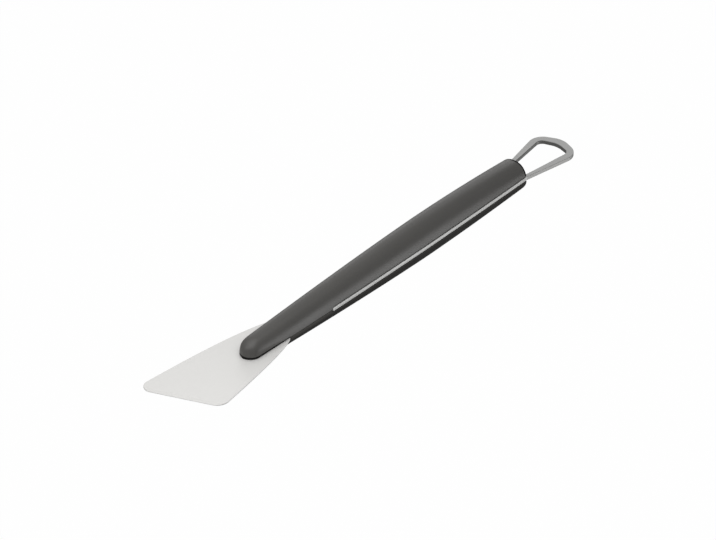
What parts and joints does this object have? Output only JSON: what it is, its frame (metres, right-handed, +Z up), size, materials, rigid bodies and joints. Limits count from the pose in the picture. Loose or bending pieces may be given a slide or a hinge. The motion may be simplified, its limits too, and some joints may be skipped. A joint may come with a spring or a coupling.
{
  "type": "grill scraper",
  "caption": "Long-handled grill scraper: a slanted flat steel blade clamped in a slim rounded plastic handle, with an inlaid metal frame that runs out as a hanging loop.",
  "frame": {"origin": "where the tool hangs: on the handle's axis, on the inner wall of the loop's end bar, level with the blade's top face", "axes": "+X along the handle from the blade to the hanging loop, +Y to the blade's long side, +Z up out of the blade's top face"},
  "size_m": [0.4101, 0.0546, 0.0299],
  "materials": {
    "blade": "fine satin stainless steel",
    "frame": "matte stainless steel",
    "shell": "satin anthracite moulding",
    "screw": "plated self-tapping screw"
  },
  "bodies": {
    "root": {"blade": "blade", "hanger_frame": "frame", "upper_shell": "shell", "lower_shell": "shell", "screw_front": "screw", "screw_tang": "screw", "screw_middle": "screw", "screw_rear": "screw"}
  },
  "joints": []
}
